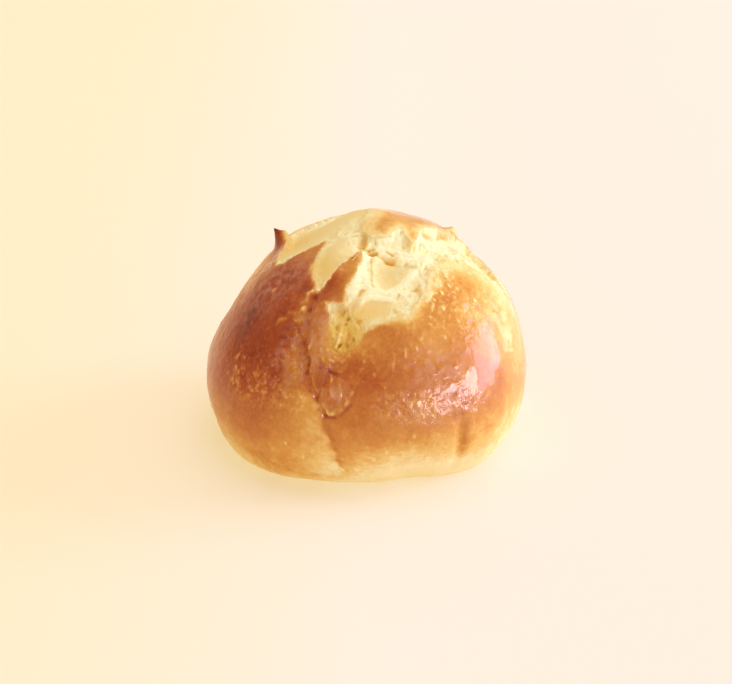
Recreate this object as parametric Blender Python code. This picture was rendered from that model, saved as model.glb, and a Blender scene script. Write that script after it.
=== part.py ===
"""Brioche bun: one domed roll whose snipped top has opened into a star of crust petals and torn crumb.

The body is a UV sphere whose points are moved onto a turned, slightly squarish dome with a flat
base. The open star, the petals, the folds and the lumps are relief on that dome.
Metres, +Z up, origin at the middle of the base, front of the bun towards -Y.
"""
import math

import bmesh
import bpy
import numpy as np

MM = 0.001
DEG = math.pi / 180
TURN = 2 * math.pi

OBJECT_NAME = "brioche_bun"
COLLECTION_NAME = "brioche_bun_parts"

# Driving dimensions: handles of the Bezier curve that is turned into the dome, radius and height
HEIGHT = 66.0 * MM
FOOT_RADIUS = 38.4 * MM
PROFILE = (
    (0, HEIGHT),
    (7.0 * MM, HEIGHT),
    (33.5 * MM, 53.0 * MM),
    (37.5 * MM, 54.5 * MM),
    (36.5 * MM, 32.0 * MM),
    (51.7 * MM, 22.5 * MM),
    (50.8 * MM, 24.0 * MM),
    (43.2 * MM, 0),
    (FOOT_RADIUS, 0),
)
PROFILE_STEPS = 1200

# The plan is nearly round above and a rounded square at the foot
DOME_SQUARENESS = 2.06
FOOT_SQUARENESS = 2.6
FOOT_DEPTH_RATIO = 0.93
FOOT_BLEND_HEIGHT = 22 * MM

# Places where the foot is drawn in: azimuth, half width in degrees, share of the radius
FOOT_DENTS = (
    (-69, 13, 0.055),
    (-112, 9, 0.015),
    (-20, 12, 0.02),
    (38, 14, 0.035),
    (104, 12, 0.03),
    (164, 15, 0.03),
)
FOOT_DENT_HEIGHT = 9 * MM

# The crown sits a little to the right and the right shoulder is the fuller one
CROWN_SHIFT = (2.75 * MM, -0.55 * MM)
SHOULDER_SWELL = 0.037
SHOULDER_HEIGHT = 41 * MM
SHOULDER_SPREAD = 13 * MM

# Mesh: the sphere is made fine, and then thinned where the bun is smooth
COLUMNS = 340
ROWS = 300
SIDE_SHARE = 0.94
FACE_LIMIT = 11400
SLOPE_STEP = 0.4 * MM
SWING_STEP = 0.3 * DEG
GRID = 1e-7
BASE_SNAP = 0.04 * MM
NEGLIGIBLE = 1e-14
FOOT_EASE = 2.5 * MM

# Outline of the torn opening, laid out flat from the top: x, y and the crust's raised lip, in mm.
# It runs from the left round the front, the right and the back.
OPENING = (
    (-29.4, -4.8, 0.5), (-30.4, -8.0, 0.3), (-27.0, -9.8, 0.3), (-21.7, -9.9, 0.3),
    (-13.9, -9.1, 0.4), (-16.1, -14.9, 0.4), (-17.6, -18.6, 0.5), (-16.8, -26.4, 0.6),
    (-15.4, -28.0, 0.9), (-9.0, -23.0, 1.6), (-3.4, -18.2, 1.8), (-4.7, -23.6, 1.5),
    (-7.4, -27.6, 1.2), (-8.2, -33.2, 0.7), (-14.2, -31.2, 0.4), (-12.9, -36.0, 0.2),
    (-12.8, -39.8, 0.1), (-12.3, -44.6, 0.0), (-9.2, -47.0, 0.0), (-6.2, -45.8, 0.0),
    (-3.0, -43.4, 0.0), (-0.6, -40.4, 0.1), (4.0, -38.2, 0.3), (11.9, -35.0, 0.3),
    (15.7, -25.8, 0.3), (17.4, -19.0, 0.4), (22.2, -13.0, 0.4), (28.5, -9.6, 0.3),
    (37.0, -7.6, 0.3), (48.0, -5.0, 0.1), (39.5, 3.4, 0.4), (29.0, 5.2, 0.8), (24.6, 3.4, 1.1),
    (19.0, 2.4, 0.8), (14.6, -0.6, 0.6), (12.4, -5.0, 0.5), (12.2, -8.6, 0.5), (10.6, -11.4, 0.4),
    (8.9, -8.6, 0.5), (7.6, -5.4, 0.5), (5.0, -8.4, 0.5), (3.4, -11.2, 0.5), (-0.6, -11.3, 0.5),
    (-2.9, -8.8, 0.4), (-2.8, -0.5, 0.3), (-0.8, 13.5, 0.4), (3.0, 25.0, 0.5), (4.5, 36.0, 0.1),
    (-3.0, 28.0, 0.5), (-11.0, 23.0, 0.7), (-21.5, 19.5, 1.0), (-27.4, 13.4, 1.3),
    (-26.8, 8.4, 1.2), (-26.6, 3.6, 0.9), (-27.6, -1.0, 0.6),
)
LIP_FADE = 5.5 * MM
LIP_DROP = 1.2 * MM
LIP_REACH = 0.6 * MM
LIP_SHARPNESS = 5
CRUMB_STEP = 0.35 * MM
CRUMB_SLOPE = 1.6 * MM

# Hollows and swellings of the crumb, laid out flat: x, y, half length, half width, turn, height
CRUMB_FORMS = (
    (-17.0, 4.0, 11.0, 8.5, 20, -0.1),
    (-5.5, 4.0, 5.0, 7.0, 0, 0.9),
    (-11.6, -17.0, 7.0, 3.4, 60, 0.7),
    (-3.4, -12.2, 3.2, 1.4, 80, -1.6),
    (4.8, -23.4, 7.2, 5.6, 80, -3.0),
    (8.8, -13.2, 9.0, 3.6, 15, -1.7),
    (18.4, -6.0, 7.0, 3.4, 35, -1.9),
    (9.6, -24.4, 9.4, 1.6, 55, 0.9),
    (13.2, -23.8, 5.0, 2.8, 85, -0.9),
    (1.6, -33.8, 6.2, 3.2, 15, -0.6),
    (1.6, -30.4, 6.0, 1.0, 12, 0.8),
    (-5.0, -25.6, 7.6, 1.5, 76, 1.0),
    (5.0, -16.6, 6.0, 1.1, -8, 0.9),
    (-8.8, -36.4, 6.6, 2.6, 85, -1.4),
    (34.0, 1.6, 9.5, 3.2, 5, -1.6),
    (1.2, 27.0, 8.5, 3.0, 75, -1.4),
    (-26.0, 5.5, 9.5, 3.6, 100, -1.0),
)

# Petal tips that stand up, laid out flat: x, y, half length, half width, turn, pull x, y, z
HORNS = (
    (-29.0, 11.6, 8.0, 3.6, 112, -2.5, 0.2, 4.4),
    (23.2, 5.2, 4.4, 3.6, 80, 0.4, 0.3, 1.9),
    (-4.9, -19.6, 5.6, 2.8, 70, 0.0, -0.3, 0.9),
    (-9.6, -24.2, 6.0, 1.7, 48, -0.2, -0.3, 0.9),
)
HORN_POWER = 1.5

# Folds of the crust: half width in mm, then azimuth in degrees, distance from the top and depth in mm
FOLDS = (
    (1.9, ((-120.8, 31, 0.5), (-121.2, 39.6, 1.5), (-118.8, 47.7, 1.9), (-111.6, 54.9, 1.6),
           (-105.6, 62.3, 1.1), (-101.5, 73, 0.8), (-100, 82, 0.9))),
    (1.2, ((-129, 33, 0.2), (-127, 41, 0.6), (-123, 49, 0.2))),
    (1.6, ((-58, 66, 0.1), (-57, 71, 0.7), (-56, 80, 0.9), (-56, 85, 0.5))),
    (2.2, ((-82, 82, 0.1), (-72, 86, 0.9), (-62, 85, 0.6), (-52, 85, 0.2))),
    (2.0, ((-139, 77, 0.1), (-128, 81, 0.6), (-118, 83, 0.2))),
    (2.0, ((62, 40, 0.1), (70, 56, 0.9), (74, 72, 0.8), (72, 84, 0.6))),
    (1.8, ((150, 44, 0.1), (154, 60, 0.7), (158, 78, 0.5))),
    (1.8, ((12, 52, 0.1), (14, 66, 0.6), (11, 84, 0.7))),
)

# Broad lumps of the crust: azimuth, distance from the top, half length, half width, turn, height
LUMPS = (
    (-108.5, 46, 13, 4.8, 85, 1.2),
    (-112, 58, 5.5, 4.5, 90, 0.6),
    (-135, 48, 16, 8, 80, 0.6),
    (-98, 81, 7, 6, 0, 0.8),
    (-86, 85, 8, 4, 0, 0.9),
    (-50, 62, 14, 10, 70, 0.5),
    (-70, 54, 12, 9, 20, -0.3),
    (-45, 78, 9, 6, 0, 0.5),
    (100, 58, 16, 12, 60, 0.7),
    (35, 62, 14, 10, 80, 0.6),
    (128, 50, 14, 9, 80, 0.6),
    (175, 68, 12, 9, 80, 0.4),
    (168, 34, 9, 5, 0, -1.3),
    (142, 22, 11, 8, 0, -1.7),
    (-178, 55, 18, 14, 0, -0.7),
    (20, 36, 11, 7, 0, -1.6),
    (50, 12, 9, 6, 0, -0.4),
)

# Pleats where the dough gathers into the foot
PLEATS = 19
PLEAT_HEIGHT = 0.55 * MM
PLEAT_SEED = 7
PLEAT_DISTANCE = 81 * MM
PLEAT_SPREAD = 6 * MM
PLEAT_WIDTHS = (0.05, 0.11)
PLEAT_SHARES = (-0.8, 1.0)
PLEAT_OFFSETS = (0.2, 0.8)

# Crust colour and finish
CRUST_COLOUR = (0.60, 0.27, 0.09, 1.0)
CRUST_ROUGHNESS = 0.32
CRUST_METALLIC = 0.0


def clear_objects():
    """Empty the scene."""
    for item in list(bpy.data.objects):
        bpy.data.objects.remove(item, do_unlink=True)


def make_collection(name):
    """Return a new collection linked to the scene."""
    group = bpy.data.collections.new(name)
    bpy.context.scene.collection.children.link(group)
    return group


def make_crust_material():
    """Glazed, browned crust."""
    material = bpy.data.materials.new("crust")
    material.use_nodes = True
    shader = material.node_tree.nodes["Principled BSDF"]
    shader.inputs["Base Color"].default_value = CRUST_COLOUR
    shader.inputs["Roughness"].default_value = CRUST_ROUGHNESS
    shader.inputs["Metallic"].default_value = CRUST_METALLIC
    return material


def bell(distance, width):
    """Smooth bump: 1 at no distance, fading over the width."""
    return np.exp(-(distance / width) ** 2)


def ease(value):
    """Smooth step from 0 to 1 as the value goes from 0 to 1."""
    clipped = np.clip(value, 0, 1)
    return clipped * clipped * (3 - 2 * clipped)


def swing_between(start, end):
    """Angle from one direction to another, the short way round."""
    return (end - start + math.pi) % TURN - math.pi


def turned_profile():
    """Distance from the top, radius and height along the Bezier profile."""
    order = len(PROFILE) - 1
    share = np.linspace(0, 1, PROFILE_STEPS)
    radius = np.zeros(PROFILE_STEPS)
    height = np.zeros(PROFILE_STEPS)
    for index, (handle_radius, handle_height) in enumerate(PROFILE):
        weight = math.comb(order, index) * share ** index * (1 - share) ** (order - index)
        radius += weight * handle_radius
        height += weight * handle_height
    steps = np.hypot(np.diff(radius), np.diff(height))
    return np.concatenate([[0], np.cumsum(steps)]), radius, height


PROFILE_DISTANCES, PROFILE_RADII, PROFILE_HEIGHTS = turned_profile()
SIDE_LENGTH = PROFILE_DISTANCES[-1]


def rounded_square(azimuth, squareness, depth_ratio):
    """Radius of a round form with slightly flattened sides, 1 along X."""
    across = np.abs(np.cos(azimuth)) ** squareness
    deep = np.abs(np.sin(azimuth) / depth_ratio) ** squareness
    return (across + deep) ** (-1 / squareness)


def foot_dents(azimuth):
    """Share of the radius by which the foot is drawn in."""
    dents = np.zeros(azimuth.shape)
    for centre, half_width, share in FOOT_DENTS:
        dents += share * bell(swing_between(centre * DEG, azimuth), half_width * DEG)
    return dents


def dome_points(azimuth, distance):
    """Points of the smooth dome, a distance from the top along its profile."""
    height = np.interp(distance, PROFILE_DISTANCES, PROFILE_HEIGHTS)
    dome_plan = rounded_square(azimuth, DOME_SQUARENESS, 1)
    foot_plan = rounded_square(azimuth, FOOT_SQUARENESS, FOOT_DEPTH_RATIO)
    plan = foot_plan + (dome_plan - foot_plan) * ease(height / FOOT_BLEND_HEIGHT)
    plan -= foot_dents(azimuth) * (1 - ease(height / FOOT_DENT_HEIGHT))
    swell = 1 + SHOULDER_SWELL * np.cos(azimuth) * bell(height - SHOULDER_HEIGHT, SHOULDER_SPREAD)
    radius = np.interp(distance, PROFILE_DISTANCES, PROFILE_RADII) * plan * swell
    lean = (height / HEIGHT) ** 2
    x = radius * np.cos(azimuth) + CROWN_SHIFT[0] * lean
    y = radius * np.sin(azimuth) + CROWN_SHIFT[1] * lean
    return np.stack([x, y, height], axis=-1)


def dome_normals(azimuth, distance):
    """Outward directions of the smooth dome."""
    middle = np.clip(distance, SLOPE_STEP, SIDE_LENGTH - SLOPE_STEP)
    down = dome_points(azimuth, middle + SLOPE_STEP) - dome_points(azimuth, middle - SLOPE_STEP)
    around = dome_points(azimuth + SWING_STEP, middle) - dome_points(azimuth - SWING_STEP, middle)
    normal = np.cross(down, around)
    return normal / np.linalg.norm(normal, axis=-1, keepdims=True)


def segment_distance(x, y, start, end):
    """Distance from points to a segment, and where along it the nearest spot lies."""
    run_x, run_y = end[0] - start[0], end[1] - start[1]
    from_x, from_y = x - start[0], y - start[1]
    along = (from_x * run_x + from_y * run_y) / (run_x ** 2 + run_y ** 2 + NEGLIGIBLE)
    share = np.clip(along, 0, 1)
    return np.hypot(from_x - share * run_x, from_y - share * run_y), share


def opening_edge(x, y):
    """Signed distance to the opening's edge, positive on the crust, and the lip height there."""
    nearest = np.full(x.shape, np.inf)
    inside = np.zeros(x.shape, dtype=bool)
    lip_sum = np.zeros(x.shape)
    weight_sum = np.zeros(x.shape)
    corners = np.array(OPENING) * MM
    for start, end in zip(corners, np.roll(corners, -1, axis=0)):
        gap, share = segment_distance(x, y, start, end)
        nearest = np.minimum(nearest, gap)
        weight = (1 + gap / LIP_REACH) ** -LIP_SHARPNESS
        lip_sum += weight * (start[2] + share * (end[2] - start[2]))
        weight_sum += weight
        crossing_x = start[0] + (y - start[1]) * (end[0] - start[0]) / (end[1] - start[1])
        inside ^= ((start[1] > y) != (end[1] > y)) & (x < crossing_x)
    return np.where(inside, -nearest, nearest), lip_sum / weight_sum


def form_shares(dx, dy, half_length, half_width, turn):
    """Offsets from a form's centre, as shares of its half length and half width."""
    cos, sin = math.cos(turn * DEG), math.sin(turn * DEG)
    along = (dx * cos + dy * sin) / (half_length * MM)
    across = (dy * cos - dx * sin) / (half_width * MM)
    return along, across


def opening_relief(x, y):
    """Height of the crust's lip and of the crumb that shows in the opening."""
    edge, lip = opening_edge(x, y)
    on_crust = lip * np.exp(-np.clip(edge, 0, None) / LIP_FADE)
    in_crumb = lip * bell(np.clip(edge, None, 0), LIP_DROP)
    forms = np.full(x.shape, -CRUMB_STEP)
    for centre_x, centre_y, half_length, half_width, turn, height in CRUMB_FORMS:
        dx, dy = x - centre_x * MM, y - centre_y * MM
        along, across = form_shares(dx, dy, half_length, half_width, turn)
        forms += height * MM * np.exp(-along ** 2 - across ** 2)
    return np.where(edge > 0, on_crust, in_crumb) + ease(-edge / CRUMB_SLOPE) * forms


def fold_relief(azimuth, distance, radius):
    """Depth of the creases in the crust."""
    relief = np.zeros(azimuth.shape)
    for half_width, knots in FOLDS:
        depth = np.zeros(azimuth.shape)
        for start, end in zip(knots, knots[1:]):
            swing = swing_between(azimuth, start[0] * DEG)
            near = (radius * swing, start[1] * MM - distance)
            far = (radius * (swing + (end[0] - start[0]) * DEG), end[1] * MM - distance)
            gap, share = segment_distance(0, 0, near, far)
            amount = (start[2] + share * (end[2] - start[2])) * MM
            depth = np.maximum(depth, amount * bell(gap, half_width * MM))
        relief -= depth
    return relief


def lump_relief(azimuth, distance, radius):
    """Height of the broad swellings of the crust."""
    relief = np.zeros(azimuth.shape)
    for centre_azimuth, centre_distance, half_length, half_width, turn, height in LUMPS:
        dx = radius * swing_between(centre_azimuth * DEG, azimuth)
        dy = centre_distance * MM - distance
        along, across = form_shares(dx, dy, half_length, half_width, turn)
        relief += height * MM * np.exp(-along ** 2 - across ** 2)
    return relief


def pleat_relief(azimuth, distance):
    """Uneven pleats round the foot."""
    random = np.random.default_rng(PLEAT_SEED)
    relief = np.zeros(azimuth.shape)
    for index in range(PLEATS):
        centre = (index + random.uniform(*PLEAT_OFFSETS)) * TURN / PLEATS
        width = random.uniform(*PLEAT_WIDTHS)
        height = random.uniform(*PLEAT_SHARES) * PLEAT_HEIGHT
        relief += height * bell(swing_between(centre, azimuth), width)
    return relief * bell(distance - PLEAT_DISTANCE, PLEAT_SPREAD)


def horn_pull(x, y):
    """Vectors that draw the petal tips up into horns."""
    pull = np.zeros(x.shape + (3,))
    for centre_x, centre_y, half_length, half_width, turn, *vector in HORNS:
        dx, dy = x - centre_x * MM, y - centre_y * MM
        along, across = form_shares(dx, dy, half_length, half_width, turn)
        weight = np.clip(1 - np.hypot(along, across), 0, 1) ** HORN_POWER
        pull += weight[..., None] * np.array(vector) * MM
    return pull


def bun_points(azimuth, distance, inward):
    """Points of the whole surface: dome, relief and horns, and the flat base drawn inward."""
    dome = dome_points(azimuth, distance)
    radius = np.hypot(dome[..., 0], dome[..., 1])
    flat_x, flat_y = distance * np.cos(azimuth), distance * np.sin(azimuth)
    relief = opening_relief(flat_x, flat_y)
    relief += fold_relief(azimuth, distance, radius)
    relief += lump_relief(azimuth, distance, radius)
    relief += pleat_relief(azimuth, distance)
    relief *= ease((SIDE_LENGTH - distance) / FOOT_EASE)
    points = dome + dome_normals(azimuth, distance) * relief[..., None]
    points += horn_pull(flat_x, flat_y)
    points[..., :2] *= (1 - inward)[..., None]
    points[..., 2] = np.maximum(points[..., 2], 0)
    return points


def make_fine_mesh(name):
    """UV sphere with its points moved onto the bun's surface."""
    sphere = bmesh.new()
    bmesh.ops.create_uvsphere(sphere, u_segments=COLUMNS, v_segments=ROWS, radius=1)
    bmesh.ops.triangulate(sphere, faces=sphere.faces)
    directions = np.array([vert.co for vert in sphere.verts], dtype=float)
    azimuth = np.arctan2(directions[:, 1], directions[:, 0])
    polar_share = np.arccos(np.clip(directions[:, 2], -1, 1)) / math.pi
    distance = SIDE_LENGTH * np.clip(polar_share / SIDE_SHARE, 0, 1)
    inward = np.clip((polar_share - SIDE_SHARE) / (1 - SIDE_SHARE), 0, 1)
    points = np.round(bun_points(azimuth, distance, inward) / GRID) * GRID
    for vert, point in zip(sphere.verts, points):
        vert.co = point
    mesh = bpy.data.meshes.new(name)
    sphere.to_mesh(mesh)
    sphere.free()
    return mesh


def thin_out(item, face_limit):
    """Merge faces where the surface is smooth, and flatten the base again."""
    thinning = item.modifiers.new("thin_out", "DECIMATE")
    thinning.ratio = face_limit / len(item.data.polygons)
    evaluated = item.evaluated_get(bpy.context.evaluated_depsgraph_get())
    thinned = bpy.data.meshes.new_from_object(evaluated)
    item.modifiers.remove(thinning)
    item.data = thinned
    for vert in thinned.vertices:
        if vert.co.z < BASE_SNAP:
            vert.co.z = 0


def make_bun(group):
    """The bun as one solid."""
    bun = bpy.data.objects.new(OBJECT_NAME, make_fine_mesh(OBJECT_NAME))
    group.objects.link(bun)
    thin_out(bun, FACE_LIMIT)
    bun.data.materials.append(make_crust_material())
    bun.data.shade_smooth()


clear_objects()
make_bun(make_collection(COLLECTION_NAME))
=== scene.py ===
"""Looks of the brioche bun: glazed crust, torn crumb, floor, studio light and camera.

The bun is a turned dome with relief on it, as in the solid, made again with a finer mesh and with
the crust and the crumb as two pieces. Sizes are in metres; tables of places are in millimetres
and degrees. "Flat" places are laid out from the top: distance along the crust and azimuth.
"""
import functools
import itertools
import math

import bmesh
import bpy
import numpy as np
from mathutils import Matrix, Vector


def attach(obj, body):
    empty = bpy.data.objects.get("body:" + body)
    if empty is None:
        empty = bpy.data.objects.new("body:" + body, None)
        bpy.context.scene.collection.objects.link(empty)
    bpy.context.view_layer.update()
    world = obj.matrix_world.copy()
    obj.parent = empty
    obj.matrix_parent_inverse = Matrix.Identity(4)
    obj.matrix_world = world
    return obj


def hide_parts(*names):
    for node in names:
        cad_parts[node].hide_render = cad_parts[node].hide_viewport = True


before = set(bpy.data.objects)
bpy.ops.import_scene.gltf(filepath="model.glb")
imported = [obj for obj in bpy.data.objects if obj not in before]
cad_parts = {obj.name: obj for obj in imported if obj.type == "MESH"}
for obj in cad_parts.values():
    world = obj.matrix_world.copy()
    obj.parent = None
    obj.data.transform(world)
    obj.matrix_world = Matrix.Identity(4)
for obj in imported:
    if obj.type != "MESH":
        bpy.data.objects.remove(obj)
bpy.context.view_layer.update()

MM = 0.001
DEG = math.pi / 180
TURN = 2 * math.pi
NODE = "brioche_bun"
BODY = "root"

# The dome: handles of the Bezier curve that is turned, radius and height in mm
HEIGHT = 66 * MM
PROFILE = (
    (0, 66), (7, 66), (33.5, 53), (37.5, 54.5), (36.5, 32), (51.7, 22.5), (50.8, 24), (43.2, 0),
    (38.4, 0),
)
PROFILE_STEPS = 1200
DOME_SQUARENESS = 2.06
FOOT_SQUARENESS = 2.6
FOOT_DEPTH_RATIO = 0.93
FOOT_BLEND_HEIGHT = 22 * MM

# Places where the foot is drawn in: azimuth, half width in degrees, share of the radius
FOOT_DENTS = (
    (-69, 13, 0.055), (-112, 9, 0.015), (-20, 12, 0.02), (38, 14, 0.035), (104, 12, 0.03),
    (164, 15, 0.03),
)
FOOT_DENT_HEIGHT = 9 * MM
CROWN_SHIFT = (2.75 * MM, -0.55 * MM)
SHOULDER_SWELL = 0.037
SHOULDER_HEIGHT = 41 * MM
SHOULDER_SPREAD = 13 * MM
SLOPE_STEP = 0.4 * MM
SWING_STEP = 0.3 * DEG
NEGLIGIBLE = 1e-14
FOOT_EASE = 2.5 * MM

# Outline of the torn opening, flat: x, y, the crust's raised lip and how far the crust stays
# pale. From the left round the front, the right and the back.
OPENING = (
    (-29.4, -4.8, 0.5, 0.8), (-30.4, -8, 0.3, 0.4), (-27, -9.8, 0.3, 0.4), (-21.7, -9.9, 0.3, 0.3),
    (-13.9, -9.1, 0.4, 0.3), (-16.1, -14.9, 0.4, 0.6), (-17.6, -18.6, 0.5, 1),
    (-16.8, -26.4, 0.6, 0.8), (-15.4, -28, 0.9, 0.4), (-9, -23, 1.6, 0.15),
    (-3.4, -18.2, 1.8, 0.15), (-4.7, -23.6, 1.5, 0.3), (-7.4, -27.6, 1.2, 0.5),
    (-8.2, -33.2, 0.7, 0.8), (-14.2, -31.2, 0.4, 0.3), (-12.9, -36, 0.2, 0.15),
    (-12.8, -39.8, 0.1, 0.1), (-12.3, -44.6, 0, 0.1), (-9.2, -47, 0, 0.1), (-6.2, -45.8, 0, 0.1),
    (-3, -43.4, 0, 0.15), (-0.6, -40.4, 0.1, 0.3), (4, -38.2, 0.3, 0.8), (11.9, -35, 0.3, 2.4),
    (15.7, -25.8, 0.3, 3), (17.4, -19, 0.4, 3.8), (22.2, -13, 0.4, 4.6), (28.5, -9.6, 0.3, 5.2),
    (37, -7.6, 0.3, 6), (48, -5, 0.1, 5), (39.5, 3.4, 0.4, 3), (29, 5.2, 0.8, 2),
    (24.6, 3.4, 1.1, 1.6), (19, 2.4, 0.8, 2), (14.6, -0.6, 0.6, 2), (12.4, -5, 0.5, 1.6),
    (12.2, -8.6, 0.5, 1.4), (10.6, -11.4, 0.4, 1.4), (8.9, -8.6, 0.5, 1.4), (7.6, -5.4, 0.5, 1.6),
    (5, -8.4, 0.5, 1.6), (3.4, -11.2, 0.5, 1.4), (-0.6, -11.3, 0.5, 2.4), (-2.9, -8.8, 0.4, 4),
    (-2.8, -0.5, 0.3, 6), (-0.8, 13.5, 0.4, 4), (3, 25, 0.5, 2), (4.5, 36, 0.1, 1),
    (-3, 28, 0.5, 1), (-11, 23, 0.7, 1), (-21.5, 19.5, 1, 1), (-27.4, 13.4, 1.3, 0.7),
    (-26.8, 8.4, 1.2, 1), (-26.6, 3.6, 0.9, 1.2), (-27.6, -1, 0.6, 1),
)
LIP_FADE = 5.5 * MM
LIP_DROP = 1.2 * MM
LIP_REACH = 0.6 * MM
LIP_SHARPNESS = 5
CRUMB_STEP = 0.35 * MM
CRUMB_SLOPE = 1.6 * MM

# Hollows and swellings of the crumb, flat: x, y, half length, half width, turn, height
CRUMB_FORMS = (
    (-17, 4, 11, 8.5, 20, -0.1), (-5.5, 4, 5, 7, 0, 0.9), (-11.6, -17, 7, 3.4, 60, 0.7),
    (-3.4, -12.2, 3.2, 1.4, 80, -1.6), (4.8, -23.4, 7.2, 5.6, 80, -3),
    (8.8, -13.2, 9, 3.6, 15, -1.7), (18.4, -6, 7, 3.4, 35, -1.9), (9.6, -24.4, 9.4, 1.6, 55, 0.9),
    (13.2, -23.8, 5, 2.8, 85, -0.9), (1.6, -33.8, 6.2, 3.2, 15, -0.6), (1.6, -30.4, 6, 1, 12, 0.8),
    (-5, -25.6, 7.6, 1.5, 76, 1), (5, -16.6, 6, 1.1, -8, 0.9), (-8.6, -35.4, 5.6, 3, 85, -1.1),
    (34, 1.6, 9.5, 3.2, 5, -1.6), (1.2, 27, 8.5, 3, 75, -1.4), (-26, 5.5, 9.5, 3.6, 100, -1),
)

# Finer folds, cracks and pores of the crumb, as above
CRUMB_DETAILS = (
    (-1.9, -16.8, 1.5, 0.45, 30, -0.48), (0.2, -15.9, 1.7, 0.45, 18, -0.48),
    (-1, -18.8, 1.5, 0.5, 65, -0.36), (2.2, -17.2, 2.2, 0.5, -25, -0.42),
    (5.2, -18.2, 1.8, 0.8, 0, -0.3), (-3.6, -29.4, 1.3, 0.7, 80, -0.48),
    (1.5, -28.4, 4, 0.6, 4, 0.35), (1, -29.7, 4.2, 0.5, 2, 0.3), (4.8, -29, 3.2, 0.5, 10, 0.3),
    (10.2, -25.2, 5.4, 0.8, 48, 0.3), (-2.8, -32.4, 1.8, 0.6, 50, 0.5),
    (1.8, -31.3, 3.8, 0.6, 0, 0.5), (12.9, -27, 0.9, 0.8, 0, -0.42),
    (11.4, -29.6, 0.7, 0.6, 0, -0.24), (9, -30.6, 0.6, 0.6, 0, -0.21),
    (14.6, -22.2, 3.6, 0.5, -62, -0.3), (11.8, -19.6, 3, 0.5, -30, -0.24),
    (19.6, -0.9, 1, 0.7, 30, -0.36), (21.4, 0.9, 1, 0.7, 60, -0.36), (17.4, -2.6, 1, 0.6, 10, -0.3),
    (-8.8, -35.2, 1.3, 1, 40, -0.3), (-7.2, -36.8, 0.9, 0.7, 0, -0.36),
    (-10.2, -38.6, 0.8, 0.7, 0, -0.3), (-9.6, -42, 3.4, 0.6, 82, 0.4),
    (-7.8, -40.4, 3, 0.5, 75, 0.3), (-11.2, -40, 3, 0.5, 88, 0.3), (4.6, -11.4, 2.2, 0.6, 78, 0.5),
    (6.9, -11, 2.6, 0.6, 95, 0.5), (12.6, -10.2, 2.6, 0.6, 100, 0.4),
    (15.8, -7.4, 4.2, 0.5, -14, 0.35), (19.6, -7.6, 4.6, 0.5, -18, 0.3),
    (9.2, -14.4, 4, 0.6, -8, 0.4), (24, -4.6, 5, 0.5, -24, 0.3),
)

# Thin ridges and cracks of the crumb, flat: half width, height, then x and y
CRUMB_LINES = (
    (0.5, 0.24, ((12.8, -18.4), (14.4, -21.2), (15.2, -24.8), (15, -28.4))),
    (0.7, 0.26, ((12.4, -21.2), (8, -26.4), (4.8, -28.4))),
    (0.4, 0.34, ((-1.2, -29.8), (1.4, -29.5), (4, -29.8))),
    (0.4, 0.34, ((-1.2, -31.2), (2, -30.8), (5.6, -31.2))),
    (0.4, -0.36, ((-0.9, -19.2), (-0.7, -23), (-0.4, -26.8))),
    (0.3, -0.5, ((3.6, -14.4), (5.6, -15.2), (7.2, -16.4))),
    (0.45, -0.8, ((-1.8, -15.4), (-0.2, -14.8))), (0.45, -0.8, ((-1.4, -16.8), (0.8, -16.2))),
    (0.45, -0.7, ((3.8, -18), (6.2, -18.2))),
    (0.5, 0.5, ((-9.4, -41.4), (-10.2, -43.4), (-11, -44.8))),
    (0.4, -0.6, ((-10.2, -44.8), (-9.2, -44))), (0.5, 0.4, ((14, -5.4), (16.6, -8.6), (20.6, -10))),
    (0.4, 0.3, ((17, -5), (21, -7.6), (25, -8))), (0.4, 0.3, ((24, 1.6), (30, -1), (37, -3.4))),
    (0.5, 0.3, ((6.2, -9.6), (6.6, -12.4), (6, -14))),
    (0.5, 0.3, ((1, -12.4), (1.6, -14.2), (0.6, -15.4))),
)

# Petal tips that stand up, flat: x, y, half length, half width, turn, pull x, y, z
HORNS = (
    (-29, 11.6, 8, 3.6, 112, -2.5, 0.2, 4.4), (23.2, 5.2, 4.4, 3.6, 80, 0.4, 0.3, 1.9),
    (-4.9, -19.6, 5.6, 2.8, 70, 0, -0.3, 0.9), (-9.6, -24.2, 6, 1.7, 48, -0.2, -0.3, 0.9),
)
HORN_POWER = 1.5

# Folds of the crust: half width, then azimuth, distance from the top and depth
FOLDS = (
    (1.9, ((-120.8, 31, 0.5), (-121.2, 39.6, 1.5), (-118.8, 47.7, 1.9), (-111.6, 54.9, 1.6),
           (-105.6, 62.3, 1.1), (-101.5, 73, 0.8), (-100, 82, 0.9))),
    (1.2, ((-129, 33, 0.2), (-127, 41, 0.6), (-123, 49, 0.2))),
    (1.6, ((-58, 66, 0.1), (-57, 71, 0.7), (-56, 80, 0.9), (-56, 85, 0.5))),
    (2.2, ((-82, 82, 0.1), (-72, 86, 0.9), (-62, 85, 0.6), (-52, 85, 0.2))),
    (2, ((-139, 77, 0.1), (-128, 81, 0.6), (-118, 83, 0.2))),
    (2, ((62, 40, 0.1), (70, 56, 0.9), (74, 72, 0.8), (72, 84, 0.6))),
    (1.8, ((150, 44, 0.1), (154, 60, 0.7), (158, 78, 0.5))),
    (1.8, ((12, 52, 0.1), (14, 66, 0.6), (11, 84, 0.7))),
)

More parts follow.
